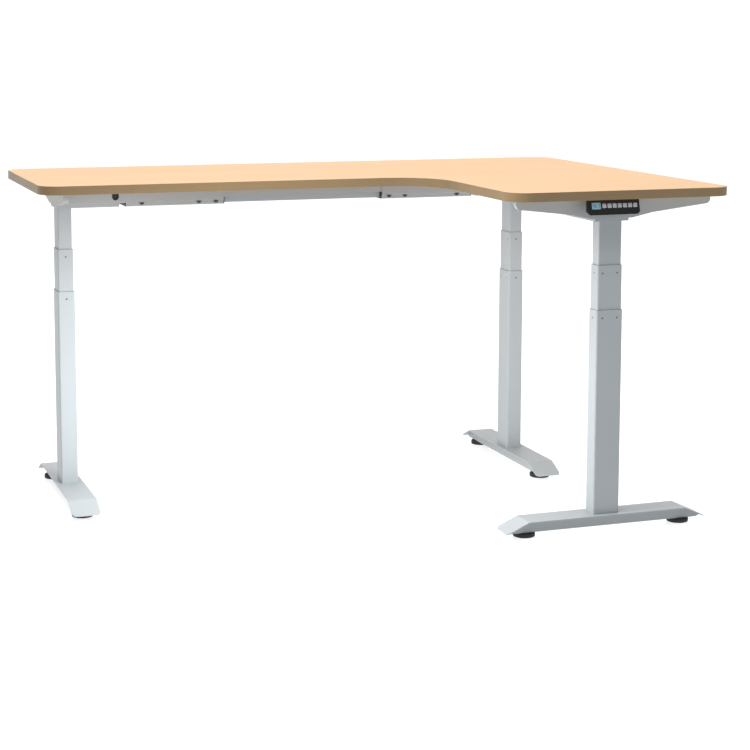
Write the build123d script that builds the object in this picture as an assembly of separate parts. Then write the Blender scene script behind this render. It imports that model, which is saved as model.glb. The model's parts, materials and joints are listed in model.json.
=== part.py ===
"""An L-shaped electric sit-stand desk on three telescopic legs.

Millimetres, +Z up.  The origin is on the floor, under the middle of the desk
top's outline.  X runs along the long back edge and Y towards the back.  The
user sits in the notch of the L, on the -Y side of the long run.

Each leg is designed once in its own frame: local X points along the beam that
the leg carries, local Y along its foot, and local Z up from the floor.
"""
from build123d import *
from math import atan2, cos, degrees, radians, sin
import os

# ---------------------------------------------------------------- desk top
top_length = 1830.0
top_depth = 1260.0
run_depth = 670.0
return_width = 675.0
board_thickness = 25.0
outer_corner_radius = 60.0
notch_radius = 160.0
band_thickness = 2.0
band_edge_round = 1.2

# ---------------------------------------------------------------- leg places
left_leg_inset = 117.0
corner_leg_inset = 268.0
return_leg_offset = 85.0
return_leg_inset = 80.0

# ---------------------------------------------------------------- telescopic columns
outer_tube_along = 80.0
outer_tube_across = 50.0
outer_tube_wall = 1.5
mid_tube_wall = 1.5
inner_tube_wall = 2.0
stage_gap = 1.0
tube_corner_radius = 5.0
outer_tube_length = 578.0
mid_tube_length = 565.0
inner_tube_length = 560.0
mid_reveal = 125.0
inner_reveal = 123.0
base_plate_thickness = 8.0
base_bolt_radius = 4.25
base_bolt_across = 26.0
base_bolt_along = 56.0
end_plate_thickness = 6.0

# ---------------------------------------------------------------- glide pads in the columns
glide_clearance = 0.2
glide_width = 12.0
glide_length = 34.0
glide_spread = 44.0
glide_pin_radius = 2.5
glide_pin_recess = 0.5
glide_rim_distance = 22.0

# ---------------------------------------------------------------- lifting screw
spindle_radius = 9.0
spindle_length = 595.0
running_clearance = 0.05
lift_tube_radius = 14.0
lift_tube_bore = 11.0
lift_tube_length = 559.0
lift_nut_length = 30.0
spindle_hole_radius = 12.0

# ---------------------------------------------------------------- feet
foot_length = 614.0
foot_width = 82.0
foot_height = 48.0
foot_flat_length = 484.0
foot_sheet = 3.0
foot_tip_underside = 16.0
foot_corner_radius = 12.0
foot_channel_width = 42.0
foot_channel_underside = 14.0
foot_channel_top_length = 604.0
foot_channel_base_length = 574.0
pad_spacing = 480.0
pad_radius = 31.0
pad_thickness = 13.0
pad_edge = 2.0
pad_stem_radius = 4.0
pad_stem_length = 28.0
pad_boss_radius = 9.0
pad_boss_top = 44.0
pad_seat_gap = 0.5

# ---------------------------------------------------------------- heads, rails and brackets
head_height = 64.0
head_outer_half = 56.0
rail_step_in = 4.0
rail_step_height = 13.0
sheet = 2.0
head_tail = 26.0
head_reach = 159.0
corner_head_reach = 146.0
lip_width = 15.0
rail_slack = 0.5
main_rail_length = 317.0
main_rail_notch = 20.0
center_rail_overlap = 267.0
center_rail_rise = 3.0
center_rail_step_rise = 22.0
center_rail_step_in = 16.0
return_rail_length = 380.0
return_inner_overlap = 190.0
cable_slot_width = 17.0
cable_slot_height = 26.0
cable_slot_rise = 8.0
cable_slot_inset = 12.0
rail_cap_thickness = 2.0
rail_cap_slack = 0.2
rail_plug_length = 10.0
rail_collar_thickness = 3.0
rail_collar_height = 19.0
bracket_sheet = 2.5
bracket_long_reach = 305.0
bracket_front_reach = 175.0
bracket_return_reach = 288.0
bracket_lip = 14.0
bracket_tab_depth = 40.0
bracket_center_depth = 56.0
bracket_knee_depth = 43.0
bracket_tip_depth = 22.0
bracket_knee_place = 124.0
bracket_flat_place = 62.0
bracket_tip_round = 14.0
bracket_tab_length = 26.0
bracket_head_gap = 0.5
bracket_hole_radius = 2.5
bracket_hole_place = 27.0
bracket_hole_drop = 37.0
bracket_end_hole_drop = 20.0

# ---------------------------------------------------------------- fasteners
clamp_screw_head_radius = 7.0
clamp_screw_head_height = 2.6
clamp_screw_radius = 2.5
clamp_screw_length = 20.0
clamp_screw_gap = 0.2
clamp_screw_cover = 0.5
clamp_screw_places = (67.0, 241.0, 293.0)
board_screw_radius = 2.25
board_screw_head_radius = 4.5
board_screw_head_height = 2.5
board_screw_bite = 16.0

# ---------------------------------------------------------------- motor and gearbox
gearbox_across = 46.0
gearbox_along = 60.0
gearbox_height = 50.0
motor_radius = 23.5
motor_length = 100.0
motor_neck_length = 6.0
motor_neck_radius = 18.0

# ---------------------------------------------------------------- handset
handset_width = 159.0
handset_height = 41.0
handset_top_depth = 34.0
handset_lean = 15.0
handset_front_setback = 4.0
handset_corner = 9.0
handset_back_narrowing = 20.0
handset_offset = -17.5
button_size = 12.0
button_pitch = 15.6
button_count = 7
button_thickness = 4.0
button_proud = 0.9
button_gap = 0.3
button_travel = 0.8
button_first_place = 52.0
display_width = 27.0
display_height = 18.0
display_thickness = 1.5
display_place = 28.0
keypad_rise = 4.0

# ---------------------------------------------------------------- control box
control_length = 260.0
control_depth = 96.0
control_height = 40.0
control_gap = 24.0
control_place = -60.0
control_round = 4.0
lead_bay_length = 84.0
lead_bay_height = 14.0
lead_bay_depth = 12.0
inlet_width = 24.0
inlet_height = 16.5
inlet_depth = 18.0
inlet_flange_width = 48.0
inlet_flange_height = 22.0
inlet_flange_thickness = 2.0
inlet_wall = 1.5
inlet_pin_size = (2.0, 4.0)
inlet_pin_length = 12.0
inlet_pin_pitch = 7.0

# ---------------------------------------------------------------- worked-out levels and places
outer_tube_top = foot_height + outer_tube_length
mid_tube_top = outer_tube_top + mid_reveal
inner_tube_top = mid_tube_top + inner_reveal
board_underside = inner_tube_top + head_height

mid_tube_along = outer_tube_along - 2 * (outer_tube_wall + stage_gap)
mid_tube_across = outer_tube_across - 2 * (outer_tube_wall + stage_gap)
inner_tube_along = mid_tube_along - 2 * (mid_tube_wall + stage_gap)
inner_tube_across = mid_tube_across - 2 * (mid_tube_wall + stage_gap)

left_leg_x = -top_length / 2 + left_leg_inset
corner_leg_x = top_length / 2 - corner_leg_inset
right_leg_x = corner_leg_x - return_leg_offset
beam_y = top_depth / 2 - run_depth / 2
right_leg_y = -top_depth / 2 + return_leg_inset
beam_start = left_leg_x + head_reach
beam_end = corner_leg_x - corner_head_reach

clamp_flat_z = inner_tube_top + rail_step_height - rail_step_in / 2 - clamp_screw_gap
clamp_screw_z = clamp_flat_z - clamp_screw_radius - clamp_screw_cover

# name, place of the column's axis, direction of local X in degrees, reach of its head
LEGS = (
    ("left", left_leg_x, beam_y, 0.0, head_reach),
    ("corner", corner_leg_x, beam_y, 180.0, corner_head_reach),
    ("right", right_leg_x, right_leg_y, 90.0, head_reach),
)


# how far each leg's bracket reaches along its local +Y and -Y
BRACKET_REACHES = {
    "left": (bracket_long_reach, bracket_front_reach),
    "corner": (bracket_return_reach, bracket_long_reach),
    "right": (bracket_return_reach, bracket_long_reach),
}


def leg_frame(x, y, turn):
    """The leg's local frame, as a location in the desk's frame."""
    return Location((x, y, 0), (0, 0, turn))


def block(x0, x1, y0, y1, z0, z1):
    """A box between two corners."""
    size = Box(x1 - x0, y1 - y0, z1 - z0)
    return Pos((x0 + x1) / 2, (y0 + y1) / 2, (z0 + z1) / 2) * size


def rod(radius, length, place, direction=(0, 0, 1)):
    """A round rod that starts at place and runs along direction."""
    plane = Plane(origin=place, z_dir=direction)
    return extrude(plane * Circle(radius), length)


def tube_section(across, along, corner):
    """A rounded rectangle, narrow along X."""
    return RectangleRounded(across, along, corner)


def rectangular_tube(across, along, wall, corner, z0, length):
    """A hollow column stage standing on z0."""
    outside = extrude(Pos(0, 0, z0) * tube_section(across, along, corner), length)
    inside = tube_section(across - 2 * wall, along - 2 * wall, max(corner - wall, 0.5))
    return outside - extrude(Pos(0, 0, z0) * inside, length)


# ---------------------------------------------------------------- desk top
def top_outline(inset):
    """The L of the top, pulled in by inset, with a round notch and round corners."""
    right = top_length / 2 - inset
    back = top_depth / 2 - inset
    notch_x = top_length / 2 - return_width + inset
    notch_y = top_depth / 2 - run_depth + inset
    points = [
        (-right, back),
        (right, back),
        (right, -back),
        (notch_x, -back),
        (notch_x, notch_y),
        (-right, notch_y),
    ]
    outline = make_face(Polyline(*points, close=True))
    notch = outline.vertices().sort_by_distance((notch_x, notch_y, 0))[0]
    corners = [v for v in outline.vertices() if v != notch]
    outline = fillet(corners, outer_corner_radius - inset)
    notch = outline.vertices().sort_by_distance((notch_x, notch_y, 0))[0]
    return fillet(notch, notch_radius + inset)


def make_edge_band_and_board():
    """The laminated board and the band that covers its cut edge."""
    level = Pos(0, 0, board_underside)
    whole = extrude(level * top_outline(0.0), board_thickness)
    rims = whole.edges().group_by(Axis.Z)[0] + whole.edges().group_by(Axis.Z)[-1]
    whole = fillet(rims, band_edge_round)
    board = extrude(level * top_outline(band_thickness), board_thickness)
    return whole - board, board


# ---------------------------------------------------------------- stepped trays
def stepped_profile(upper_half, lower_half, z0, step_z, z1):
    """An upright section whose lower part is narrower than its upper part."""
    points = [
        (-lower_half, z0),
        (lower_half, z0),
        (lower_half, step_z - rail_step_in / 2),
        (upper_half, step_z),
        (upper_half, z1),
        (-upper_half, z1),
        (-upper_half, step_z),
        (-lower_half, step_z - rail_step_in / 2),
    ]
    return make_face(Polyline(*points, close=True))


def stepped_tray(x0, x1, upper_half, step_in, rise, step_rise, drop):
    """A folded tray along X, open at the top between two inward lips."""
    lower_half = upper_half - step_in
    z0 = inner_tube_top + rise
    z1 = board_underside - drop
    step_z = inner_tube_top + step_rise
    start = Plane(origin=(x0, 0, 0), x_dir=(0, 1, 0), z_dir=(1, 0, 0))
    outside = stepped_profile(upper_half, lower_half, z0, step_z, z1)
    inside = stepped_profile(
        upper_half - sheet, lower_half - sheet, z0 + sheet, step_z + sheet / 2, z1 - sheet
    )
    opening = block(
        x0 - 1, x1 + 1, -upper_half + lip_width, upper_half - lip_width, z1 - sheet - 1, z1 + 1
    )
    tray = extrude(start * outside, x1 - x0) - extrude(start * inside, x1 - x0)
    return tray - opening


def head_screw_places(reach):
    """Where a head's lips are screwed to the board, in its leg's frame."""
    line = head_outer_half - lip_width / 2
    return [(x, side * line) for x in (10.0, reach - 38.0) for side in (-1, 1)]


def make_head(reach):
    """The motor housing on top of a column, in its leg's frame."""
    head = stepped_tray(
        -head_tail, reach, head_outer_half, rail_step_in, 0.0, rail_step_height, 0.0
    )
    solid = stepped_profile(
        head_outer_half - sheet / 2,
        head_outer_half - rail_step_in - sheet / 2,
        inner_tube_top + sheet / 2,
        inner_tube_top + rail_step_height + sheet / 2,
        board_underside - sheet / 2,
    )
    for x in (-head_tail, reach - sheet):
        end = Plane(origin=(x, 0, 0), x_dir=(0, 1, 0), z_dir=(1, 0, 0))
        head += extrude(end * solid, sheet)
    head -= rod(spindle_hole_radius, 2 * sheet, (0, 0, inner_tube_top - sheet / 2))
    slot_x = reach - cable_slot_inset
    slot_top = inner_tube_top + rail_step_height + cable_slot_rise + cable_slot_height
    slot = SlotOverall(cable_slot_height, cable_slot_width, rotation=90)
    for side in (-1, 1):
        wall = Plane(
            origin=(slot_x, side * head_outer_half, slot_top - cable_slot_height / 2),
            x_dir=(1, 0, 0),
            z_dir=(0, -side, 0),
        )
        head -= extrude(wall * slot, 2 * sheet)
    for x, y in head_screw_places(reach):
        head -= rod(board_screw_radius, 2 * sheet, (x, y, board_underside - 1.5 * sheet))
    return head - bracket_hole()


# ---------------------------------------------------------------- side brackets
def bracket_profile(trim, reaches):
    """The bracket's side view, along Y and down from the board, made smaller by trim."""
    rise = bracket_knee_depth - bracket_tip_depth
    slope = rise / (bracket_long_reach - bracket_knee_place)
    sides = []
    for side, reach in zip((1, -1), reaches):
        end_depth = bracket_knee_depth - slope * (reach - bracket_knee_place)
        sides.append(
            [
                (side * bracket_flat_place, trim - bracket_center_depth),
                (side * bracket_knee_place, trim - bracket_knee_depth),
                (side * (reach - trim), trim - end_depth),
                (side * (reach - trim), 0.0),
            ]
        )
    face = make_face(Polyline(*sides[0], *reversed(sides[1]), close=True))
    tips = [v for v in face.vertices() if abs(v.X) > bracket_knee_place + 1 and v.Y < -1.0]
    return fillet(tips, bracket_tip_round - trim)


def bracket_tab_places(reaches):
    """Middles of the tabs under the board, along Y."""
    near = bracket_knee_place - bracket_tab_length / 2
    places = [-near, near]
    for side, reach in zip((1, -1), reaches):
        far = reach - bracket_tab_length / 2 - bracket_tip_round
        if far > near + 2 * bracket_tab_length:
            places.append(side * far)
    return places


def bracket_hole():
    """The hole through a bracket and the head's end wall behind it."""
    start = (-head_tail - 2 * bracket_sheet, bracket_hole_place, board_underside - bracket_hole_drop)
    return rod(bracket_hole_radius, 2 * bracket_sheet + 2 * sheet, start, (1, 0, 0))


def make_bracket(reaches):
    """The tapered side plate across a head, with a folded lip, in its leg's frame."""
    outer_x = -head_tail - bracket_sheet
    inner_x = -head_tail + bracket_lip
    side = Plane(origin=(outer_x, 0, board_underside), x_dir=(0, 1, 0), z_dir=(1, 0, 0))
    bracket = extrude(side * bracket_profile(0.0, reaches), inner_x - outer_x)
    inside = Plane(origin=(-head_tail, 0, board_underside), x_dir=(0, 1, 0), z_dir=(1, 0, 0))
    bracket -= extrude(inside * bracket_profile(bracket_sheet, reaches), bracket_lip + 1)
    for y in bracket_tab_places(reaches):
        tab = block(
            outer_x,
            outer_x + bracket_tab_depth,
            y - bracket_tab_length / 2,
            y + bracket_tab_length / 2,
            board_underside - bracket_sheet,
            board_underside,
        )
        hole = rod(board_screw_radius, 2 * bracket_sheet, (0, y, board_underside - 4.0))
        bracket += tab
        bracket -= hole
    for side_y, reach in zip((1, -1), reaches):
        start = (
            -head_tail + bracket_lip / 2,
            side_y * (reach + 1),
            board_underside - bracket_end_hole_drop,
        )
        bracket -= rod(bracket_hole_radius, bracket_sheet + 2, start, (0, -side_y, 0))
    room = head_outer_half + bracket_head_gap
    passage = block(-head_tail, inner_x + 1, -room, room, 0, board_underside + 1)
    return bracket - passage - bracket_hole()


# ---------------------------------------------------------------- rails
def place_rail(rail, x, y, turn):
    """Turns a rail made along X from zero and moves its start to x, y."""
    return Location((x, y, 0), (0, 0, turn)) * rail


def outer_rail(length, notch):
    """An outer rail from zero along X.  Its lower part starts after the notch."""
    rail = stepped_tray(0, length, head_outer_half, rail_step_in, 0.0, rail_step_height, 0.0)
    low = inner_tube_top + rail_step_height - rail_step_in / 2
    rail -= block(-1, notch, -head_outer_half, head_outer_half, inner_tube_top - 1, low)
    lower_half = head_outer_half - rail_step_in
    for x in clamp_screw_places:
        for side in (-1, 1):
            start = (x, side * (lower_half + 1), clamp_screw_z)
            rail -= rod(clamp_screw_radius, sheet + 2, start, (0, -side, 0))
    for x in rail_screw_places(length):
        for side in (-1, 1):
            y = side * (head_outer_half - lip_width / 2)
            rail -= rod(board_screw_radius, 2 * sheet, (x, y, board_underside - 1.5 * sheet))
    return rail


def rail_screw_places(length):
    """Places along an outer rail of the screws into the board."""
    return (30.0, length - 30.0)


def inner_rail(length, screw_places):
    """A rail from zero along X that slides inside the outer rails."""
    half = head_outer_half - sheet - rail_slack
    drop = sheet + board_screw_head_height + rail_slack
    rail = stepped_tray(
        0, length, half, center_rail_step_in, center_rail_rise, center_rail_step_rise, drop
    )
    for x in screw_places:
        for side in (-1, 1):
            start = (x, side * (half + 1), clamp_screw_z)
            rail -= rod(clamp_screw_radius, center_rail_step_in + sheet + 2, start, (0, -side, 0))
    return rail


def clamp_screws(x, y, turn):
    """The screws that lock an outer rail which starts at x, y.

    Each head is half round, with its flat against the underside of the rail's step.
    """
    face = head_outer_half - rail_step_in
    screws = []
    for place in clamp_screw_places:
        for side in (-1, 1):
            head = rod(
                clamp_screw_head_radius,
                clamp_screw_head_height,
                (place, side * face, clamp_flat_z),
                (0, side, 0),
            )
            head -= block(
                place - 2 * clamp_screw_head_radius,
                place + 2 * clamp_screw_head_radius,
                -2 * head_outer_half,
                2 * head_outer_half,
                clamp_flat_z,
                clamp_flat_z + 2 * clamp_screw_head_radius,
            )
            start = (place, side * face, clamp_screw_z)
            shank = rod(clamp_screw_radius, clamp_screw_length, start, (0, -side, 0))
            screws.append(place_rail(head + shank, x, y, turn))
    return screws


def rail_cap():
    """The plastic plug that closes an outer rail's lower end, with its plate at x = 0."""
    lower_half = head_outer_half - rail_step_in
    step_z = inner_tube_top + rail_step_height - rail_step_in / 2
    plate = block(0, rail_cap_thickness, -lower_half, lower_half, inner_tube_top, step_z)
    plug_half = lower_half - sheet - rail_cap_slack
    plug_low = inner_tube_top + sheet + rail_cap_slack
    plug_end = rail_cap_thickness + rail_plug_length
    return plate + block(rail_cap_thickness, plug_end, -plug_half, plug_half, plug_low, step_z)


def rail_collar(x):
    """The plastic collar on an outer rail's inner end, round the rail that slides in it."""
    low = inner_tube_top
    step_z = low + rail_step_height
    upper_half = head_outer_half - sheet
    collar = Plane(origin=(x, 0, 0), x_dir=(0, 1, 0), z_dir=(1, 0, 0)) * stepped_profile(
        upper_half, upper_half - rail_step_in, low, step_z, low + rail_collar_height
    )
    inner_half = head_outer_half - sheet - center_rail_step_in
    inner_low = low + center_rail_rise - rail_slack
    room = block(x - 1, x + 3 * rail_collar_thickness, -inner_half, inner_half, inner_low, board_underside)
    return extrude(collar, rail_collar_thickness) - room


# ---------------------------------------------------------------- columns
def glide_places(across, along):
    """Outward direction and centre of each glide, for a tube's inside size."""
    places = []
    for side in (-1, 1):
        for y in (-glide_spread / 2, glide_spread / 2):
            places.append(((side, 0), (side * across / 2, y)))
        places.append(((0, side), (0, side * along / 2)))
    return places


def glide_set(across, along, wall, rim_z):
    """The pads inside a tube's rim, with the pins that show in its wall."""
    pad_depth = stage_gap - glide_clearance
    z = rim_z - glide_rim_distance
    pads = []
    for (dx, dy), (x, y) in glide_places(across, along):
        turn = degrees(atan2(dy, dx))
        pad = block(-pad_depth, 0, -glide_width / 2, glide_width / 2, -glide_length / 2, glide_length / 2)
        pin = rod(glide_pin_radius, wall - glide_pin_recess, (0, 0, 0), (1, 0, 0))
        pads.append(Location((x, y, z), (0, 0, turn)) * (pad + pin))
    return pads


def glide_holes(across, along, wall, rim_z):
    """What the glide pins take out of the tube's wall."""
    z = rim_z - glide_rim_distance
    holes = []
    for (dx, dy), (x, y) in glide_places(across, along):
        start = (x - dx, y - dy, z)
        holes.append(rod(glide_pin_radius, wall + 2, start, (dx, dy, 0)))
    return holes


def tube_with_glides(across, along, wall, corner, z0, length):
    """A column stage with the holes for the glides at its rim."""
    tube = rectangular_tube(across, along, wall, corner, z0, length)
    inner = (across - 2 * wall, along - 2 * wall)
    for hole in glide_holes(*inner, wall, z0 + length):
        tube -= hole
    return tube, glide_set(*inner, wall, z0 + length)


def make_outer_tube():
    """The lowest stage, with the plate that bolts to the foot."""
    tube, glides = tube_with_glides(
        outer_tube_across,
        outer_tube_along,
        outer_tube_wall,
        tube_corner_radius,
        foot_height,
        outer_tube_length,
    )
    plate = tube_section(
        outer_tube_across - 2 * outer_tube_wall,
        outer_tube_along - 2 * outer_tube_wall,
        tube_corner_radius - outer_tube_wall,
    )
    tube += extrude(Pos(0, 0, foot_height) * plate, base_plate_thickness)
    for hole in base_bolt_holes(foot_height - 1, base_plate_thickness + 2):
        tube -= hole
    return tube, glides


def base_bolt_holes(z0, length):
    """Four bolt holes between the base plate and the foot."""
    holes = []
    for x in (-base_bolt_across / 2, base_bolt_across / 2):
        for y in (-base_bolt_along / 2, base_bolt_along / 2):
            holes.append(rod(base_bolt_radius, length, (x, y, z0)))
    return holes


def make_mid_tube():
    """The middle stage."""
    return tube_with_glides(
        mid_tube_across,
        mid_tube_along,
        mid_tube_wall,
        tube_corner_radius - 1.0,
        mid_tube_top - mid_tube_length,
        mid_tube_length,
    )


def make_inner_tube():
    """The top stage, with the plate that bolts to the head."""
    corner = tube_corner_radius - 2.0
    z0 = inner_tube_top - inner_tube_length
    tube = rectangular_tube(
        inner_tube_across, inner_tube_along, inner_tube_wall, corner, z0, inner_tube_length
    )
    plate = tube_section(
        inner_tube_across - 2 * inner_tube_wall,
        inner_tube_along - 2 * inner_tube_wall,
        corner - inner_tube_wall,
    )
    start = Pos(0, 0, inner_tube_top - end_plate_thickness)
    tube += extrude(start * plate, end_plate_thickness)
    return tube - rod(spindle_hole_radius, inner_tube_length, (0, 0, z0))


def make_motor(reach):
    """The motor and its right-angle gearbox, inside the head."""
    floor = inner_tube_top + sheet
    gearbox = block(
        -gearbox_across / 2,
        gearbox_across / 2,
        -gearbox_along / 2,
        gearbox_along / 2,
        floor,
        floor + gearbox_height,
    )
    gearbox = fillet(gearbox.edges().filter_by(Axis.Z), 6.0)
    center_z = floor + gearbox_height / 2
    neck_start = (gearbox_across / 2, 0, center_z)
    body_start = (gearbox_across / 2 + motor_neck_length, 0, center_z)
    neck = rod(motor_neck_radius, motor_neck_length, neck_start, (1, 0, 0))
    body = rod(motor_radius, motor_length, body_start, (1, 0, 0))
    body = chamfer(body.edges().filter_by(GeomType.CIRCLE), 1.5)
    bore = rod(spindle_radius + running_clearance, gearbox_height, (0, 0, floor - 1))
    return gearbox + neck + body - bore


def make_spindle():
    """The screw that hangs from the gearbox into the lift nut."""
    top = inner_tube_top + sheet + gearbox_height - 8.0
    screw = rod(spindle_radius, spindle_length, (0, 0, top - spindle_length))
    ends = screw.edges().filter_by(GeomType.CIRCLE)
    return chamfer(ends, 1.5)


def make_lift_nut():
    """The tube that stands on the base plate and carries the nut at its top."""
    z0 = foot_height + base_plate_thickness
    tube = rod(lift_tube_radius, lift_tube_length, (0, 0, z0))
    tube -= rod(lift_tube_bore, lift_tube_length - lift_nut_length, (0, 0, z0))
    return tube - rod(spindle_radius + running_clearance, lift_tube_length, (0, 0, z0))


# ---------------------------------------------------------------- feet
def foot_plate_profile():
    """The bent plate's side view along Y."""
    flat = foot_flat_length / 2
    tip = foot_length / 2
    half = [
        (flat, foot_height),
        (tip, foot_tip_underside + foot_sheet),
        (tip, foot_tip_underside),
        (flat, foot_height - foot_sheet),
    ]
    other = [(-y, z) for y, z in reversed(half)]
    return make_face(Polyline(*half, *other, close=True))


def foot_channel_profile(trim):
    """The channel's side view under the plate, made smaller by trim for its inside."""
    flat = foot_flat_length / 2
    fall = (foot_height - foot_sheet - foot_tip_underside) / (foot_length / 2 - flat)
    top = foot_height - foot_sheet / 2 + trim
    top_end = foot_channel_top_length / 2 - trim
    half = [
        (flat, top),
        (top_end, top - fall * (top_end - flat)),
        (foot_channel_base_length / 2 - trim, foot_channel_underside - trim),
    ]
    other = [(-y, z) for y, z in reversed(half)]
    return make_face(Polyline(*half, *other, close=True))


def foot_side_plane(half_width):
    """The plane of a foot's side view, half_width to the left of its middle."""
    return Plane(origin=(-half_width, 0, 0), x_dir=(0, 1, 0), z_dir=(1, 0, 0))


def make_foot():
    """A bent plate with sloping tips over a narrower channel with two threaded bosses."""
    plate = extrude(foot_side_plane(foot_width / 2) * foot_plate_profile(), foot_width)
    plan = RectangleRounded(foot_width, foot_length, foot_corner_radius)
    plate &= extrude(plan, foot_height + 1)
    half = foot_channel_width / 2
    channel = extrude(foot_side_plane(half) * foot_channel_profile(0.0), foot_channel_width)
    channel -= extrude(
        foot_side_plane(half - foot_sheet) * foot_channel_profile(foot_sheet),
        foot_channel_width - 2 * foot_sheet,
    )
    foot = plate + channel
    boss_bottom = pad_thickness + pad_seat_gap
    for side_y in (-1, 1):
        y = side_y * pad_spacing / 2
        foot += rod(pad_boss_radius, pad_boss_top - boss_bottom, (0, y, boss_bottom))
        foot -= rod(pad_stem_radius + running_clearance, pad_stem_length + 1, (0, y, boss_bottom - 1))
    for hole in base_bolt_holes(foot_height - foot_sheet - 1, foot_sheet + 2):
        foot -= hole
    return foot


def make_pad():
    """A levelling pad and its threaded stem, standing at the origin."""
    disc = rod(pad_radius, pad_thickness, (0, 0, 0))
    disc = chamfer(disc.edges().filter_by(GeomType.CIRCLE), pad_edge)
    return disc + rod(pad_stem_radius, pad_stem_length, (0, 0, pad_thickness))


# ---------------------------------------------------------------- handset
def handset_face_plane():
    """The keypad's plane: X along the keypad from its left end, Y up the slope."""
    front_y = -top_depth / 2 + handset_front_setback
    left_x = right_leg_x + handset_offset - handset_width / 2
    lean = radians(handset_lean)
    bottom = (left_x, front_y, board_underside - handset_height)
    return Plane(origin=bottom, x_dir=(1, 0, 0), z_dir=(0, -cos(lean), sin(lean)))


def handset_slope():
    """Length of the keypad from its lower to its upper edge."""
    return handset_height / cos(radians(handset_lean))


def make_handset_case():
    """The housing under the board, with pockets for the buttons and the display."""
    lean = radians(handset_lean)
    front_y = -top_depth / 2 + handset_front_setback
    set_back = handset_height * sin(lean) / cos(lean)
    low_z = board_underside - handset_height
    side = Plane(
        origin=(right_leg_x + handset_offset - handset_width / 2, 0, 0),
        x_dir=(0, 1, 0),
        z_dir=(1, 0, 0),
    )
    points = [
        (front_y, low_z),
        (front_y + set_back, board_underside),
        (front_y + set_back + handset_top_depth, board_underside),
        (front_y + handset_corner * 1.5, low_z),
    ]
    case = extrude(side * make_face(Polyline(*points, close=True)), handset_width)
    left = right_leg_x + handset_offset - handset_width / 2
    right = left + handset_width
    back = front_y + set_back + handset_top_depth
    plan = [
        (left, front_y - 1),
        (left, front_y + set_back + 1),
        (left + handset_back_narrowing, back + 1),
        (right - handset_back_narrowing, back + 1),
        (right, front_y + set_back + 1),
        (right, front_y - 1),
    ]
    case &= extrude(Pos(0, 0, low_z - 1) * make_face(Polyline(*plan, close=True)), handset_height + 2)
    ends = [e for e in case.edges() if abs(e.center().Z - low_z) < 0.01 and e.length < 20.0]
    case = chamfer(ends, handset_corner * 0.8)
    face = handset_face_plane()
    for x in button_places():
        pocket = Rectangle(button_size + 2 * button_gap, button_size + 2 * button_gap)
        depth = button_thickness - button_proud + button_travel + button_gap
        case -= extrude(face * Pos(x, keypad_line(), 0) * pocket, -depth)
    window = Rectangle(display_width, display_height)
    case -= extrude(face * Pos(display_place, keypad_line(), 0) * window, -display_thickness)
    return case


def button_places():
    """Middles of the buttons along the keypad."""
    return [button_first_place + button_pitch * i for i in range(button_count)]


def keypad_line():
    """Height of the keypad's middle line up the slope."""
    return handset_slope() / 2 + keypad_rise


def make_button(x):
    """One square key, standing proud of the keypad."""
    face = handset_face_plane()
    square = RectangleRounded(button_size, button_size, 1.2)
    start = face * Pos(x, keypad_line(), button_proud - button_thickness)
    key = extrude(start * square, button_thickness)
    outward = Axis(face.origin, face.z_dir)
    return chamfer(key.faces().sort_by(outward)[-1].edges(), 0.5)


def make_display():
    """The window over the height readout."""
    window = Rectangle(display_width, display_height)
    face = handset_face_plane()
    start = face * Pos(display_place, keypad_line(), -display_thickness)
    return extrude(start * window, display_thickness + 0.2)


# ---------------------------------------------------------------- control box
def control_corner():
    """Left, front and lower corner of the control box behind the beam."""
    front = beam_y + head_outer_half + control_gap
    return control_place - control_length / 2, front, board_underside - control_height


def inlet_place():
    """Middle of the mains inlet on the control box's left end."""
    x, y, z = control_corner()
    return x, y + control_depth / 2, z + control_height / 2


def make_control_box():
    """The box that feeds the motors, with a bay for their plugs."""
    x, y, z = control_corner()
    box = block(x, x + control_length, y, y + control_depth, z, board_underside)
    box = fillet(box.edges().filter_by(Axis.Z), control_round)
    bay_x = x + control_length / 2
    bay_z = z + control_height / 2
    bay = block(
        bay_x - lead_bay_length / 2,
        bay_x + lead_bay_length / 2,
        y + control_depth - lead_bay_depth,
        y + control_depth + 1,
        bay_z - lead_bay_height / 2,
        bay_z + lead_bay_height / 2,
    )
    hole_half = inlet_width / 2 + inlet_wall
    hole_high = inlet_height / 2 + inlet_wall
    _, inlet_y, inlet_z = inlet_place()
    seat = block(
        x - 1,
        x + inlet_depth,
        inlet_y - hole_half,
        inlet_y + hole_half,
        inlet_z - hole_high,
        inlet_z + hole_high,
    )
    return box - bay - seat


def make_mains_inlet():
    """A three-pin appliance inlet in the end of the control box."""
    x, y, z = inlet_place()
    flange = block(
        x - inlet_flange_thickness,
        x,
        y - inlet_flange_width / 2,
        y + inlet_flange_width / 2,
        z - inlet_flange_height / 2,
        z + inlet_flange_height / 2,
    )
    flange = fillet(flange.edges().filter_by(Axis.X), 3.0)
    half = inlet_width / 2
    high = inlet_height / 2
    sleeve = block(
        x,
        x + inlet_depth,
        y - half - inlet_wall,
        y + half + inlet_wall,
        z - high - inlet_wall,
        z + high + inlet_wall,
    )
    back = x + inlet_depth - inlet_wall
    cavity = block(x - 5, back, y - half, y + half, z - high, z + high)
    inlet = flange + sleeve - cavity
    for row in (-1, 0, 1):
        pin_y = y + row * inlet_pin_pitch
        pin_z = z + (2.0 if row == 0 else -1.5)
        inlet += block(
            back - inlet_pin_length,
            back,
            pin_y - inlet_pin_size[0] / 2,
            pin_y + inlet_pin_size[0] / 2,
            pin_z - inlet_pin_size[1] / 2,
            pin_z + inlet_pin_size[1] / 2,
        )
    return inlet


# ---------------------------------------------------------------- board screws
def board_screw(x, y, under):
    """A pan-head screw whose head sits under the sheet at height under."""
    head = rod(board_screw_head_radius, board_screw_head_height, (x, y, under - board_screw_head_height))
    reach = board_underside + board_screw_bite - under
    return head + rod(board_screw_radius, reach, (x, y, under))


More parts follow.
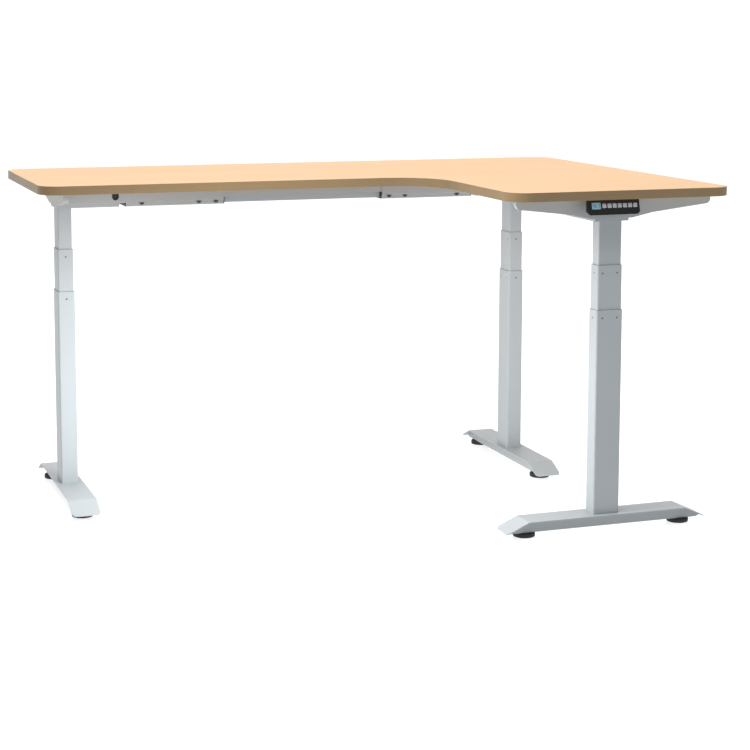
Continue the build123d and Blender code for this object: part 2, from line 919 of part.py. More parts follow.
def board_screw_sets():
    """All the screws that hold the frame to the board."""
    screws = []
    for name, x, y, turn, reach in LEGS:
        frame = leg_frame(x, y, turn)
        for place in head_screw_places(reach):
            screws.append(frame * board_screw(*place, board_underside - sheet))
        for place in bracket_tab_places(BRACKET_REACHES[name]):
            screws.append(frame * board_screw(0, place, board_underside - bracket_sheet))
    line = head_outer_half - lip_width / 2
    for x, y, turn, length in OUTER_RAILS:
        for place in rail_screw_places(length):
            for side in (-1, 1):
                screw = board_screw(place, side * line, board_underside - sheet)
                screws.append(place_rail(screw, x, y, turn))
    return screws


# start of each outer rail, the way it runs in degrees, and its length
OUTER_RAILS = (
    (beam_start, beam_y, 0.0, main_rail_length),
    (beam_end, beam_y, 180.0, main_rail_length),
    (right_leg_x, right_leg_y + head_reach, 90.0, return_rail_length),
)


def write(name, shapes):
    """One STEP file for one named piece, or for a group of like pieces."""
    solids = [s for shape in shapes for s in shape.solids()]
    whole = solids[0] if len(solids) == 1 else Compound(children=solids)
    whole.label = name
    export_step(whole, f"parts/{name}.step")


def main():
    os.makedirs("parts", exist_ok=True)
    screws = board_screw_sets()
    band, board = make_edge_band_and_board()
    for screw in screws:
        board -= screw
    write("worktop_board", [board])
    write("edge_band", [band])
    write("board_screws", screws)

    names = ("main_left_rail", "main_right_rail", "return_front_rail")
    clamps = []
    caps = []
    for name, (x, y, turn, length) in zip(names, OUTER_RAILS):
        write(name, [place_rail(outer_rail(length, main_rail_notch), x, y, turn)])
        clamps += clamp_screws(x, y, turn)
        cap_x = main_rail_notch - rail_cap_thickness
        caps.append(place_rail(Pos(cap_x, 0, 0) * rail_cap(), x, y, turn))
        caps.append(place_rail(rail_collar(length), x, y, turn))

    center_start = main_rail_length - center_rail_overlap
    center_length = beam_end - beam_start - 2 * center_start
    places = [p - center_start for p in clamp_screw_places if p > center_start]
    places += [center_length - p for p in places]
    center = inner_rail(center_length, places)
    write("main_center_rail", [place_rail(center, beam_start + center_start, beam_y, 0.0)])

    gap_y = beam_y - head_outer_half - (right_leg_y + head_reach)
    rear_length = gap_y - return_rail_length + return_inner_overlap
    places = [gap_y - p for p in clamp_screw_places if gap_y - p < rear_length]
    rear = inner_rail(rear_length, places)
    write("return_rear_rail", [place_rail(rear, right_leg_x, beam_y - head_outer_half, 270.0)])
    write("rail_clamp_screws", clamps)
    write("rail_end_caps", caps)

    for name, x, y, turn, reach in LEGS:
        frame = leg_frame(x, y, turn)
        outer_tube, outer_glides = make_outer_tube()
        mid_tube, mid_glides = make_mid_tube()
        pieces = {
            "head": [make_head(reach)],
            "bracket": [make_bracket(BRACKET_REACHES[name])],
            "motor": [make_motor(reach)],
            "spindle": [make_spindle()],
            "lift_nut": [make_lift_nut()],
            "inner_tube": [make_inner_tube()],
            "mid_tube": [mid_tube],
            "mid_glides": mid_glides,
            "outer_tube": [outer_tube],
            "outer_glides": outer_glides,
            "foot": [make_foot()],
        }
        for piece, shapes in pieces.items():
            write(f"{name}_{piece}", [frame * shape for shape in shapes])
        for end, side in (("a", -1), ("b", 1)):
            pad = frame * Pos(0, side * pad_spacing / 2, 0) * make_pad()
            write(f"{name}_pad_{end}", [pad])

    write("handset_case", [make_handset_case()])
    write("handset_display", [make_display()])
    for number, x in enumerate(button_places(), start=1):
        write(f"handset_button_{number}", [make_button(x)])
    write("control_box", [make_control_box()])
    write("mains_inlet", [make_mains_inlet()])


main()
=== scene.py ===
# %% [markdown]
# # An L-shaped sit-stand desk, finished in Blender
# The steel and the board come from the CAD model and stay exactly where they are.
# This lesson gives them their finishes, adds the small pieces that CAD left plain
# (threaded pads, cable grommets, key print, readout figures) and lights the desk
# in a pale studio.  Everything is in metres, in the CAD model's own frame.

# %% Load the frame
import json
from math import cos, pi, radians, sin

import bpy
import numpy as np
from mathutils import Matrix, Vector


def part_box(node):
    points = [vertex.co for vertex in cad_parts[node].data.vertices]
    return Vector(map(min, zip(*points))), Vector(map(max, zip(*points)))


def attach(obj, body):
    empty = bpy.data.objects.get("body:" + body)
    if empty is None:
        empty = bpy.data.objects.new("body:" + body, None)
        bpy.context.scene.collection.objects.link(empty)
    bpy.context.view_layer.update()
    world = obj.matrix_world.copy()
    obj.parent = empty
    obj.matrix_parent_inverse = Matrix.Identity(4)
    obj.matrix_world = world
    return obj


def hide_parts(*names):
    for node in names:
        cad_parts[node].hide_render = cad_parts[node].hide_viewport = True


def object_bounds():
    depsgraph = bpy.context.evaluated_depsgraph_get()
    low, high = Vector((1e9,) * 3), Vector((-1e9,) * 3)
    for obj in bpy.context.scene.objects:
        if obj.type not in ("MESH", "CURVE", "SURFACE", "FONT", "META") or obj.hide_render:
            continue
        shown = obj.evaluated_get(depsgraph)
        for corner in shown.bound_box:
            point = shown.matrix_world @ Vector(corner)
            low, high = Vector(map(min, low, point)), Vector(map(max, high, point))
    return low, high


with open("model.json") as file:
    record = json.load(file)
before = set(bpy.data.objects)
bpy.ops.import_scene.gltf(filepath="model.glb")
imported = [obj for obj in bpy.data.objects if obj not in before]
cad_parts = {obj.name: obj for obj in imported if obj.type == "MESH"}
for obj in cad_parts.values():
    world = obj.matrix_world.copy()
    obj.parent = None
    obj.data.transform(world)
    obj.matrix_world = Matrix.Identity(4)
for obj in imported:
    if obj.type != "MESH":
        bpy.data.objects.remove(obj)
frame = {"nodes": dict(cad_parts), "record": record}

cad_low, cad_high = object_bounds()
desk_size = Vector(cad_high) - Vector(cad_low)
desk_middle = (Vector(cad_low) + Vector(cad_high)) / 2
LEGS = ("left", "corner", "right")
print("desk size", [round(v, 3) for v in desk_size])

# %% [markdown]
# The camera comes first, because it decides how much detail each surface needs.
# A long lens from a little above desk height keeps the columns nearly upright.
# The lens is tilted only slightly and the frame is lowered behind it, as on a view
# camera, so upright edges hardly lean.  Its place is measured from the middle of
# the desk's own box.

# %% Camera
SENSOR_MM = 36.0
LENS_MM = 87.17
FRAME_SHIFT = -0.1569
VIEW_TURN = radians(19.53)
VIEW_TILT = radians(7.20)
VIEW_ROLL = radians(0.13)
EYE_FROM_MIDDLE = Vector((-1.712, -5.041, 0.918))

camera_data = bpy.data.cameras.new("camera")
camera_data.sensor_width = SENSOR_MM
camera_data.lens = LENS_MM
camera_data.shift_y = FRAME_SHIFT
camera = bpy.data.objects.new("camera", camera_data)
turn = Matrix.Rotation(-VIEW_TURN, 4, "Z") @ Matrix.Rotation(pi / 2 - VIEW_TILT, 4, "X")
eye = Matrix.Translation(desk_middle + EYE_FROM_MIDDLE)
camera.matrix_world = eye @ turn @ Matrix.Rotation(VIEW_ROLL, 4, "Z")
bpy.context.scene.collection.objects.link(camera)
bpy.context.scene.camera = camera
print("camera at", [round(v, 3) for v in camera.matrix_world.translation])

# %% [markdown]
# A studio sweep is one sheet of white board that lies on the floor and curves up
# behind the subject, so no horizon shows.  It glows by itself, so that it stays
# white without throwing too much light up under the desk.  The section is a line,
# a quarter circle and a line again, drawn out sideways.

# %% Sweep
SWEEP_FRONT = -14.0
SWEEP_BACK = 5.0
SWEEP_RADIUS = 3.0
SWEEP_TOP = 9.0
SWEEP_HALF_WIDTH = 14.0
SWEEP_STEPS = 33
SWEEP_GLOW = 0.80


def sweep_mesh(name):
    """Floor, quarter circle and wall: y = back + r sin(a) and z = r - r cos(a) on the curve."""
    bend = np.linspace(0.0, pi / 2, SWEEP_STEPS)
    y = np.concatenate(([SWEEP_FRONT], SWEEP_BACK + SWEEP_RADIUS * np.sin(bend)))
    z = np.concatenate(([0.0], SWEEP_RADIUS - SWEEP_RADIUS * np.cos(bend)))
    y = np.append(y, SWEEP_BACK + SWEEP_RADIUS)
    z = np.append(z, SWEEP_TOP)
    left = np.stack([np.full_like(y, -SWEEP_HALF_WIDTH), y, z], axis=1)
    right = left * (-1.0, 1.0, 1.0)
    row = np.arange(len(y) - 1)
    faces = np.stack([row, row + len(y), row + len(y) + 1, row + 1], axis=1)
    mesh = bpy.data.meshes.new(name)
    mesh.from_pydata(np.concatenate([left, right]).tolist(), [], faces.tolist())
    mesh.polygons.foreach_set("use_smooth", [True] * len(mesh.polygons))
    return mesh


sweep = bpy.data.objects.new("studio_sweep", sweep_mesh("studio_sweep"))
bpy.context.scene.collection.objects.link(sweep)
print("sweep faces", len(sweep.data.polygons))

# %% [markdown]
# One very large soft box overhead makes the top bright and leaves upright faces
# grey.  Each column also has a spot of its own that stands in the notch of the L,
# behind the plane of the right column's front, and points a little below the
# middle of the column.  The spots brighten the faces that look into the notch and
# the feet, and their cones fade towards the rails under the top.  A
# small lamp just above the top's level lights the long front edge; the edge itself
# keeps that light off the rails behind it.

# %% Lights
OVERHEAD_WATTS = 600.0
OVERHEAD_SIZE = 8.0
OVERHEAD_HEIGHT = 6.0
# place and watts of the spot that points at each leg's column
COLUMN_SPOTS = {
    "left": (Vector((-0.45, -0.55, 0.42)), 40.0),
    "corner": (Vector((0.0, -0.52, 0.42)), 27.0),
    "right": (Vector((-0.45, -0.52, 0.42)), 33.0),
}
SPOT_AIM_HEIGHT = 0.28
SPOT_CONE = radians(90.0)
SPOT_RADIUS = 0.20
EDGE_LAMP_PLACE = (-0.30, -0.62, 1.10)
EDGE_LAMP_WATTS = 12.0
EDGE_LAMP_RADIUS = 0.15
ROOM_LIGHT = 0.30


def add_light(name, kind, place, watts):
    """A lamp of the named kind at place, hidden from the lens and from mirror images."""
    light = bpy.data.lights.new(name, kind)
    light.energy = watts
    lamp = bpy.data.objects.new(name, light)
    lamp.location = place
    lamp.visible_camera = False
    lamp.visible_glossy = False
    bpy.context.scene.collection.objects.link(lamp)
    return lamp


overhead = add_light("overhead", "AREA", (0.0, 0.0, OVERHEAD_HEIGHT), OVERHEAD_WATTS)
overhead.data.size = OVERHEAD_SIZE
for leg, (place, watts) in COLUMN_SPOTS.items():
    spot = add_light(f"{leg}_column_spot", "SPOT", place, watts)
    spot.data.spot_size = SPOT_CONE
    spot.data.spot_blend = 1.0
    spot.data.shadow_soft_size = SPOT_RADIUS
    low, high = (Vector(corner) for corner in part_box(f"{leg}_outer_tube"))
    aim = (low + high) / 2
    aim.z = SPOT_AIM_HEIGHT
    spot.rotation_euler = (aim - place).to_track_quat("-Z", "Y").to_euler()
edge_lamp = add_light("edge_lamp", "POINT", EDGE_LAMP_PLACE, EDGE_LAMP_WATTS)
edge_lamp.data.shadow_soft_size = EDGE_LAMP_RADIUS

world = bpy.data.worlds.new("studio_world")
world.use_nodes = True
world.node_tree.nodes["Background"].inputs["Color"].default_value = (1.0, 1.0, 1.0, 1.0)
world.node_tree.nodes["Background"].inputs["Strength"].default_value = ROOM_LIGHT
bpy.context.scene.world = world
bpy.context.scene.view_settings.view_transform = "Standard"

# %% [markdown]
# Shader graphs are easier to read as arithmetic.  `Value` wraps one output socket,
# so `1 - mask` or `grain * 0.5` adds the Math nodes by itself, and `Finish.node`
# makes any other node from its type, its settings and its inputs.

# %% Shader maths in plain Python
class Value:
    """One output of a material's nodes, used like a number."""

    def __init__(self, tree, socket):
        self.tree = tree
        self.socket = socket

    def math(self, operation, *others):
        """A Math node on this value and up to two more."""
        node = self.tree.nodes.new("ShaderNodeMath")
        node.operation = operation
        for place, item in enumerate((self, *others)):
            if isinstance(item, Value):
                self.tree.links.new(item.socket, node.inputs[place])
            else:
                node.inputs[place].default_value = item
        return Value(self.tree, node.outputs[0])

    def __add__(self, other):
        return self.math("ADD", other)

    def __sub__(self, other):
        return self.math("SUBTRACT", other)

    def __rsub__(self, other):
        return (self * -1.0) + other

    def __mul__(self, other):
        return self.math("MULTIPLY", other)

    __radd__ = __add__
    __rmul__ = __mul__

    def ramp(self, low, high):
        """This value stretched so that low is 0 and high is 1, and held between."""
        return ((self - low) * (1.0 / (high - low))).math("MINIMUM", 1.0).math("MAXIMUM", 0.0)


class Finish:
    """A material under construction: a Principled shader and the maths that feeds it."""

    def __init__(self, name, roughness=0.5, metallic=0.0, **sockets):
        self.material = bpy.data.materials.new(name)
        self.material.use_nodes = True
        self.tree = self.material.node_tree
        self.shader = self.tree.nodes["Principled BSDF"]
        self.shader.inputs["Roughness"].default_value = roughness
        self.shader.inputs["Metallic"].default_value = metallic
        for socket, value in sockets.items():
            self.shader.inputs[socket.replace("_", " ")].default_value = value
        coordinates = self.tree.nodes.new("ShaderNodeTexCoord")
        self.place = Value(self.tree, coordinates.outputs["Object"])

    def node(self, kind, settings=None, output=0, **inputs):
        """Any node: its type, then its settings, then its inputs by name."""
        node = self.tree.nodes.new(kind)
        for key, value in (settings or {}).items():
            setattr(node, key, value)
        for key, value in inputs.items():
            socket = node.inputs[key.replace("_", " ")]
            if isinstance(value, Value):
                self.tree.links.new(value.socket, socket)
            else:
                socket.default_value = value
        return Value(self.tree, node.outputs[output])

    def stretched(self, x, y, z):
        """Object coordinates multiplied by three numbers, for grain that runs one way."""
        return self.node("ShaderNodeMapping", Vector=self.place, Scale=(x, y, z))

    def noise(self, scale, detail=2.0, rough=0.5, vector=None, distortion=0.0):
        """Soft noise from 0 to 1."""
        return self.node(
            "ShaderNodeTexNoise",
            Vector=vector or self.place,
            Scale=scale,
            Detail=detail,
            Roughness=rough,
            Distortion=distortion,
        )

    def blend(self, factor, first, second):
        """A colour between two colours."""
        node = self.tree.nodes.new("ShaderNodeMix")
        node.data_type = "RGBA"
        colour_inputs = [s for s in node.inputs if s.type == "RGBA"]
        self.tree.links.new(factor.socket, node.inputs["Factor"])
        for socket, colour in zip(colour_inputs, (first, second)):
            if isinstance(colour, Value):
                self.tree.links.new(colour.socket, socket)
            else:
                socket.default_value = (*colour, 1.0)
        output = [s for s in node.outputs if s.type == "RGBA"][0]
        return Value(self.tree, output)

    def feed(self, socket, value):
        """Links a value to one of the shader's sockets."""
        self.tree.links.new(value.socket, self.shader.inputs[socket])

    def bump(self, height, strength, depth):
        """Relief from a height value; depth is the real height in metres."""
        relief = self.node("ShaderNodeBump", Height=height, Strength=strength, Distance=depth)
        self.feed("Normal", relief)

    def axis(self, name):
        """One coordinate of the object's space: "X", "Y" or "Z"."""
        split = self.tree.nodes.new("ShaderNodeSeparateXYZ")
        self.tree.links.new(self.place.socket, split.inputs[0])
        return Value(self.tree, split.outputs[name])


sweep_finish = Finish("studio_board", roughness=0.08, IOR=1.50)
board_tone = sweep_finish.noise(0.9, detail=1.0)
white = sweep_finish.blend(board_tone, (0.30, 0.30, 0.30), (0.32, 0.32, 0.32))
sweep_finish.feed("Base Color", white)
sweep_finish.shader.inputs["Emission Color"].default_value = (1.0, 1.0, 1.0, 1.0)
sweep_finish.shader.inputs["Emission Strength"].default_value = SWEEP_GLOW
sweep.data.materials.append(sweep_finish.material)
print("sweep finish ready")

# %% [markdown]
# The top is a beech laminate: a printed paper under a clear melamine skin.  It has
# broad bands of warmer and cooler wood, fine lines along the grain and the short
# dark flecks that mark beech.  All three are noise stretched along the desk's
# length, so the grain runs one way over the whole L, as it does on a board cut
# from one sheet.

# %% Beech laminate and its edge band
def beech(name, light, dark, fleck, roughness):
    """Beech with the grain along X: bands, fine lines and short flecks."""
    finish = Finish(name, roughness=roughness, IOR=1.48)
    wander = finish.noise(1.6, detail=2.0, vector=finish.stretched(0.5, 1.0, 1.0))
    bands = finish.noise(5.5, detail=4.0, rough=0.55, vector=finish.stretched(0.09, 1.0, 1.0))
    lines = finish.noise(60.0, detail=3.0, rough=0.6, vector=finish.stretched(0.035, 1.0, 1.0))
    pores = finish.noise(420.0, detail=2.0, vector=finish.stretched(0.06, 1.0, 1.0))
    tone = (wander * 0.35 + bands * 0.65).ramp(0.30, 0.72)
    wood = finish.blend(tone, dark, light)
    line_mask = lines.ramp(0.44, 0.70) * 0.34
    wood = finish.blend(line_mask, wood, dark)
    fleck_mask = pores.ramp(0.60, 0.74) * 0.42
    wood = finish.blend(fleck_mask, wood, fleck)
    finish.feed("Base Color", wood)
    finish.feed("Roughness", lines * 0.10 + (roughness - 0.05))
    finish.bump(lines * 0.5 + pores * 0.5, 0.25, 0.00006)
    return finish.material


laminate = beech(
    "beech_laminate", (0.62, 0.375, 0.172), (0.57, 0.335, 0.149), (0.42, 0.226, 0.09), 0.40
)
# The edge band is the top's beech at about half the brightness: painted shade for the weaker
# light on the board's upright edge faces.
edge_band = beech(
    "beech_edge_band_painted_shade", (0.257, 0.183, 0.094), (0.195, 0.129, 0.062), (0.133, 0.082, 0.035), 0.46
)
print("wood finishes", laminate.name, edge_band.name)

# %% [markdown]
# The frame is powder coated.  Powder melts into a film with a fine orange-peel
# skin, a little duller in the hollows, and it carries tiny tone changes from the
# spray.  The relief is under a tenth of a millimetre, so it shows only where a
# light glances off the steel.

# %% Powder coat, plastics and bare metal
def powder_coat(name, colour, roughness):
    """A light metallic-free film with orange peel and faint cloudiness."""
    finish = Finish(name, roughness=roughness, IOR=1.46)
    cloud = finish.noise(6.0, detail=2.0)
    speck = finish.noise(2600.0, detail=1.0)
    shade = tuple(c * 0.93 for c in colour)
    tint = finish.blend((cloud * 0.6 + speck * 0.4).ramp(0.30, 0.72), shade, colour)
    finish.feed("Base Color", tint)
    finish.feed("Roughness", speck * 0.12 + (roughness - 0.06))
    peel = finish.noise(700.0, detail=2.0, rough=0.55)
    finish.bump(peel, 0.30, 0.00008)
    return finish.material


def moulded_plastic(name, colour, roughness, grain=1400.0, depth=0.00005):
    """Fine spark-eroded mould texture."""
    finish = Finish(name, roughness=roughness, IOR=1.49)
    grainy = finish.noise(grain, detail=2.0, rough=0.6)
    cloud = finish.noise(25.0, detail=2.0)
    lighter = tuple(min(1.0, c * 1.25 + 0.004) for c in colour)
    finish.feed("Base Color", finish.blend(grainy * 0.5 + cloud * 0.5, colour, lighter))
    finish.feed("Roughness", grainy * 0.16 + (roughness - 0.08))
    finish.bump(grainy, 0.35, depth)
    return finish.material


def turned_steel(name, colour, roughness):
    """Bright steel with fine turning marks along Z."""
    finish = Finish(name, roughness=roughness, metallic=1.0)
    marks = finish.noise(900.0, detail=2.0, vector=finish.stretched(0.15, 0.15, 1.0))
    shade = tuple(c * 0.8 for c in colour)
    finish.feed("Base Color", finish.blend(marks, shade, colour))
    finish.feed("Roughness", marks * 0.18 + (roughness - 0.09))
    finish.bump(marks, 0.2, 0.00003)
    return finish.material


FINISHES = {
    "laminate": laminate,
    "edge_band": edge_band,
    "powder_coat": powder_coat("grey_powder_coat", (0.375, 0.41, 0.43), 0.42),
    "screw_zinc": turned_steel("black_zinc", (0.10, 0.10, 0.11), 0.38),
    "black_plastic": moulded_plastic("black_plastic", (0.012, 0.012, 0.014), 0.50),
    "motor_black": powder_coat("motor_black", (0.030, 0.030, 0.033), 0.45),
    "machined_steel": turned_steel("machined_steel", (0.55, 0.55, 0.57), 0.30),
    "glide_plastic": moulded_plastic("glide_nylon", (0.055, 0.062, 0.070), 0.45),
    "pad_rubber": moulded_plastic("pad_black", (0.014, 0.014, 0.015), 0.62, grain=900.0),
    "handset_black": moulded_plastic("handset_black", (0.006, 0.006, 0.007), 0.42, depth=0.00004),
    "key_grey": moulded_plastic("key_grey", (0.40, 0.42, 0.45), 0.50, depth=0.00003),
    "control_grey": moulded_plastic("control_grey", (0.028, 0.029, 0.032), 0.52),
}
print("finishes", len(FINISHES))

# %% [markdown]
# The readout is a backlit window.  The light is a little brighter in the middle
# than at the rim, so it reads as a lamp behind a diffuser and not as blue paint.

# %% Readout window
READOUT_GLOW = 0.25


def readout_window(box_low, box_high):
    """Pale blue, brightest in the middle, with a faint cell pattern."""
    finish = Finish("readout_blue", roughness=0.16, IOR=1.5)
    middle = (box_low + box_high) / 2
    half = (box_high - box_low) / 2
    across = ((finish.axis("X") - middle.x) * (1.0 / half.x)).math("POWER", 2.0)
    upward = ((finish.axis("Z") - middle.z) * (1.0 / half.z)).math("POWER", 2.0)
    rim = (across + upward).ramp(0.0, 2.0)
    cells = finish.noise(5200.0, detail=0.0)
    glow = finish.blend(rim * 0.8 + cells * 0.2, (0.235, 0.415, 0.50), (0.125, 0.235, 0.30))
    finish.feed("Base Color", glow)
    finish.feed("Emission Color", glow)
    finish.shader.inputs["Emission Strength"].default_value = READOUT_GLOW
    return finish.material


FINISHES["readout"] = readout_window(*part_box("handset_display"))
slot_of = {p["node"]: p["material_slot"] for p in frame["record"]["subparts"]}
for node_name, node_object in frame["nodes"].items():
    node_object.data.materials.clear()
    node_object.data.materials.append(FINISHES[slot_of[node_name]])
print("CAD nodes finished", len(frame["nodes"]))


# %% [markdown]
# The new pieces are all surfaces of a closed ring pushed along a section, so they
# share one builder.  It takes a grid of points, ring by ring, joins each ring to
# the next and closes the first and last rings with one flat face each.

# %% Builders for the new pieces
def ring_mesh(name, rings):
    """A closed skin over rings, an array of shape (rings, points round, 3)."""
    count, around = rings.shape[:2]
    row = np.arange(count - 1)[:, None] * around
    column = np.arange(around)[None, :]
    following = (column + 1) % around
    quads = np.stack(
        [row + column, row + following, row + around + following, row + around + column], axis=-1
    )
    faces = quads.reshape(-1, 4).tolist()
    first = np.arange(around)
    faces.append(first[::-1].tolist())
    faces.append((first + (count - 1) * around).tolist())
    mesh = bpy.data.meshes.new(name)
    mesh.from_pydata(rings.reshape(-1, 3).tolist(), [], faces)
    mesh.polygons.foreach_set("use_smooth", [True] * len(mesh.polygons))
    mesh.set_sharp_from_angle(angle=radians(35.0))
    return mesh


def add_piece(name, mesh, slot, body):
    """A new object with its finish, on the body that it moves with."""
    piece = bpy.data.objects.new(name, mesh)
    bpy.context.scene.collection.objects.link(piece)
    piece.data.materials.append(FINISHES[slot])
    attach(piece, body)
    return piece


def joined(name, meshes):
    """One mesh made of several."""
    points = []
    faces = []
    for mesh in meshes:
        flat = np.empty(len(mesh.vertices) * 3)
        mesh.vertices.foreach_get("co", flat)
        start = len(points)
        points += flat.reshape(-1, 3).tolist()
        faces += [[start + i for i in polygon.vertices] for polygon in mesh.polygons]
        bpy.data.meshes.remove(mesh)
    whole = bpy.data.meshes.new(name)
    whole.from_pydata(points, [], faces)
    whole.polygons.foreach_set("use_smooth", [True] * len(whole.polygons))
    whole.set_sharp_from_angle(angle=radians(35.0))
    return whole


print("builders ready")

# %% [markdown]
# A levelling pad is a moulded disc on a threaded stem.  The disc has a ribbed rim
# for the fingers and a rounded edge at the floor, and the stem's thread is a ridge
# whose phase moves on by one turn for each pitch of height.  Both are lathe forms
# with a small change of radius, so one grid of radii describes them.

# %% Levelling pads
RIB_COUNT = 30
RIB_DEPTH = 0.0008
THREAD_PITCH = 0.00125
THREAD_DEPTH = 0.0006
PAD_STEPS_ROUND = 120
DISC_SECTION = ((0.90, 0.0), (0.97, 0.05), (1.0, 0.16), (1.0, 0.80), (0.97, 0.93), (0.90, 1.0))


def pad_mesh(name, low, high, disc_height, stem_radius):
    """Disc radius = section less ribs: depth * (1 + cos(ribs * a)) / 2 on the rim only.

    Stem radius = crest less thread: depth * (1 + cos(a + 2 pi z / pitch)) / 2.
    """
    middle = (np.array(low) + np.array(high)) / 2
    disc_radius = (high[0] - low[0]) / 2
    angle = np.linspace(0.0, 2 * pi, PAD_STEPS_ROUND, endpoint=False)[None, :]
    section = np.array(DISC_SECTION)
    on_rim = (section[:, :1] > 0.95).astype(float)
    disc = section[:, :1] * disc_radius - on_rim * RIB_DEPTH * (1 + np.cos(RIB_COUNT * angle)) / 2
    disc_z = section[:, 1] * disc_height
    thread_z = np.arange(disc_height, high[2] - low[2], THREAD_PITCH / 4)
    phase = angle + 2 * pi * thread_z[:, None] / THREAD_PITCH
    thread = stem_radius - THREAD_DEPTH * (1 + np.cos(phase)) / 2
    radius = np.concatenate([disc, thread])
    height = np.concatenate([disc_z, thread_z])[:, None] + 0.0 * angle
    x = middle[0] + radius * np.cos(angle)
    y = middle[1] + radius * np.sin(angle)
    return ring_mesh(name, np.stack([x, y, low[2] + height], axis=-1))


PAD_DISC_HEIGHT = 0.013
PAD_STEM_RADIUS = 0.004
for leg in LEGS:
    for end in ("a", "b"):
        low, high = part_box(f"{leg}_pad_{end}")
        mesh = pad_mesh(f"{leg}_ribbed_pad_{end}", low, high, PAD_DISC_HEIGHT, PAD_STEM_RADIUS)
        pad = add_piece(mesh.name, mesh, "pad_rubber", f"{leg}_levelling_pad_{end}")
        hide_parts(f"{leg}_pad_{end}")
print("pad faces", len(mesh.polygons))

# %% [markdown]
# Each head has an oblong opening in both side walls for the motor's lead, closed
# by a moulded grommet.  An oblong is a circle pulled apart along a straight line,
# so the ring is a circle whose upper half is lifted and whose lower half is
# lowered.  The section runs over the rim, into the wall and back to a membrane.

# %% Cable grommets
GROMMET_FROM_END = 0.012
GROMMET_FROM_BOTTOM = 0.034
GROMMET_STRAIGHT = 0.0045
GROMMET_STEPS = 48
# radius about the straight line, and height above the wall
GROMMET_SECTION = (
    (0.0012, -0.0008),
    (0.0068, -0.0008),
    (0.0070, 0.0010),
    (0.0078, 0.0015),
    (0.0094, 0.0014),
    (0.0100, 0.0008),
    (0.0100, 0.0000),
    (0.0083, 0.0000),
    (0.0083, -0.0030),
    (0.0070, -0.0030),
    (0.0012, -0.0028),
)
# direction of the beam from each leg
BEAM_WAY = {"left": Vector((1, 0, 0)), "corner": Vector((-1, 0, 0)), "right": Vector((0, 1, 0))}


def grommet_mesh(name, place, along, outward):
    """Ring points = place + r cos(a) along + (r sin(a) + straight * sign(sin a)) up."""
    angle = np.linspace(0.0, 2 * pi, GROMMET_STEPS, endpoint=False) + pi / GROMMET_STEPS
    section = np.array(GROMMET_SECTION)[::-1]
    radius = section[:, :1]
    level = section[:, 1:] + 0.0 * angle[None, :]
    lift = GROMMET_STRAIGHT * np.sign(np.sin(angle))[None, :]
    side = radius * np.cos(angle)[None, :]
    up = radius * np.sin(angle)[None, :] + lift
    points = (
        np.array(place)
        + side[..., None] * np.array(along)
        + up[..., None] * np.array((0.0, 0.0, 1.0))
        + level[..., None] * np.array(outward)
    )
    return ring_mesh(name, points)


grommets = []
for leg in LEGS:
    low, high = (Vector(corner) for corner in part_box(f"{leg}_head"))
    way = BEAM_WAY[leg]
    middle = (low + high) / 2
    half = (high - low) / 2
    end = middle + way * (abs(way.dot(half)) - GROMMET_FROM_END)
    for side in (-1, 1):
        outward = Vector((-way.y, way.x, 0.0)) * side
        place = end + outward * abs(outward.dot(half))
        place.z = low.z + GROMMET_FROM_BOTTOM
        along = Vector((0.0, 0.0, 1.0)).cross(outward)
        grommets.append(grommet_mesh("grommet", place, along, outward))
add_piece("cable_grommets", joined("cable_grommets", grommets), "black_plastic", "desk_top")
print("grommets", len(grommets))

# %% [markdown]
# Keys carry a raised print: an arrow each way, four memory numbers and a dot.  The
# readout shows the height of the top in millimetres.  Both are drawn with the bars
# of a seven-bar figure, each bar a thin six-sided strip with pointed ends, so they
# are generic and need no font.

# %% Key print and readout figures
FACE_LEAN = radians(15.0)
FACE_RIGHT = np.array((1.0, 0.0, 0.0))
FACE_UP = np.array((0.0, sin(FACE_LEAN), cos(FACE_LEAN)))
FACE_OUT = np.array((0.0, -cos(FACE_LEAN), sin(FACE_LEAN)))
# bars as pairs of corners on a figure one unit wide and two units high
BARS = {
    "a": ((0, 2), (1, 2)),
    "b": ((1, 2), (1, 1)),
    "c": ((1, 1), (1, 0)),
    "d": ((0, 0), (1, 0)),
    "e": ((0, 1), (0, 0)),
    "f": ((0, 2), (0, 1)),
    "g": ((0, 1), (1, 1)),
}
FIGURES = {"1": "bc", "2": "abged", "3": "abgcd", "4": "fgbc", "6": "afgedc", "9": "abcdfg"}
ARROW_UP = (((0, 0.7), (0.5, 1.5)), ((0.5, 1.5), (1, 0.7)))
ARROW_DOWN = (((0, 1.3), (0.5, 0.5)), ((0.5, 0.5), (1, 1.3)))
DOT = (((0.35, 1.0), (0.65, 1.0)),)
KEY_PRINT = (ARROW_UP, ARROW_DOWN, "1", "2", "3", "4", DOT)


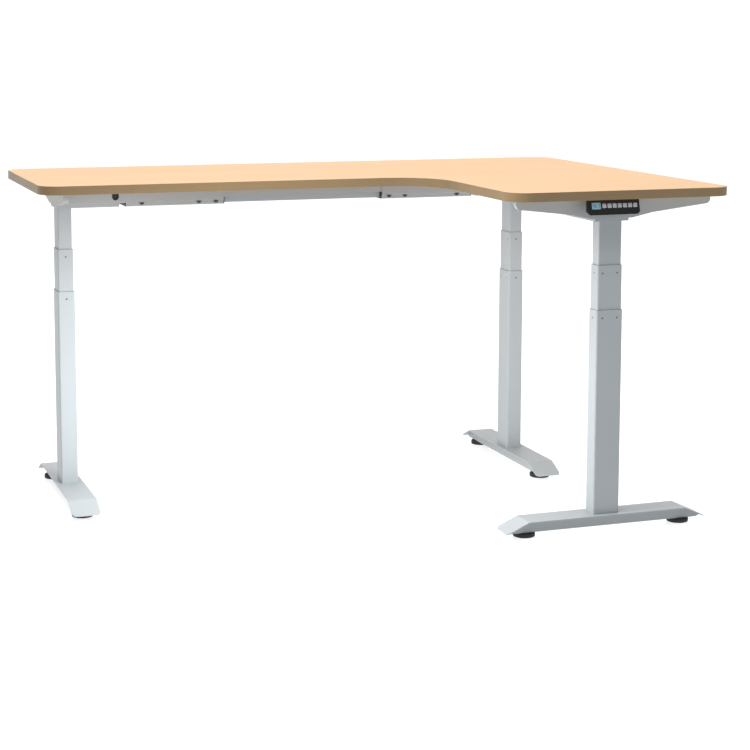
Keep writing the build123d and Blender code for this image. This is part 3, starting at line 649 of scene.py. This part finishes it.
def bar_rings(start, finish, width, thickness, face_middle):
    """Two six-sided rings: the strip's outline on the face and the same a thickness out."""
    start, finish = np.array(start), np.array(finish)
    along = (finish - start) / np.linalg.norm(finish - start)
    across = np.array((-along[1], along[0])) * width / 2
    inset = along * width / 2
    outline = np.array(
        [
            start,
            start + inset - across,
            finish - inset - across,
            finish,
            finish - inset + across,
            start + inset + across,
        ]
    )
    flat = face_middle + outline[:, :1] * FACE_RIGHT + outline[:, 1:] * FACE_UP
    return np.stack([flat, flat + thickness * FACE_OUT])


def marks_mesh(name, groups, size, width, thickness, face_middle):
    """Bars for each (strokes, shift) group, drawn at size about the middle of the face."""
    meshes = []
    for strokes, shift in groups:
        bars = strokes
        if isinstance(strokes, str):
            bars = [BARS[bar] for bar in FIGURES[strokes]]
        for ends in bars:
            placed = (np.array(ends, dtype=float) - (0.5, 1.0)) * size + (shift, 0.0)
            rings = bar_rings(placed[0], placed[1], width, thickness, face_middle)
            meshes.append(ring_mesh("bar", rings))
    return joined(name, meshes)


def face_middle_of(node, half_depth):
    """The middle of a node's outer face, from its box and half its thickness."""
    low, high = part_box(node)
    return (np.array(low) + np.array(high)) / 2 + FACE_OUT * half_depth


KEY_HALF_DEPTH = 0.002
WINDOW_HALF_DEPTH = 0.00085
MARK_SINK = 0.00005
MARK_THICKNESS = 0.00012
KEY_MARK_SIZE = 0.0022
KEY_MARK_WIDTH = 0.0004
READOUT_MARK_SIZE = 0.0042
READOUT_MARK_WIDTH = 0.0009
for number, strokes in enumerate(KEY_PRINT, start=1):
    middle = face_middle_of(f"handset_button_{number}", KEY_HALF_DEPTH - MARK_SINK)
    name = f"key_print_{number}"
    marks = [(strokes, 0.0)]
    mesh = marks_mesh(name, marks, KEY_MARK_SIZE, KEY_MARK_WIDTH, MARK_THICKNESS, middle)
    add_piece(mesh.name, mesh, "handset_black", f"key_{number}")
figures = [("9", -0.0075), ("6", -0.0005), ("3", 0.0072)]
middle = face_middle_of("handset_display", WINDOW_HALF_DEPTH - MARK_SINK)
mesh = marks_mesh(
    "readout_figures", figures, READOUT_MARK_SIZE, READOUT_MARK_WIDTH, MARK_THICKNESS, middle
)
add_piece("readout_figures", mesh, "control_grey", "desk_top")
print("figure bars", len(mesh.polygons) // 8)
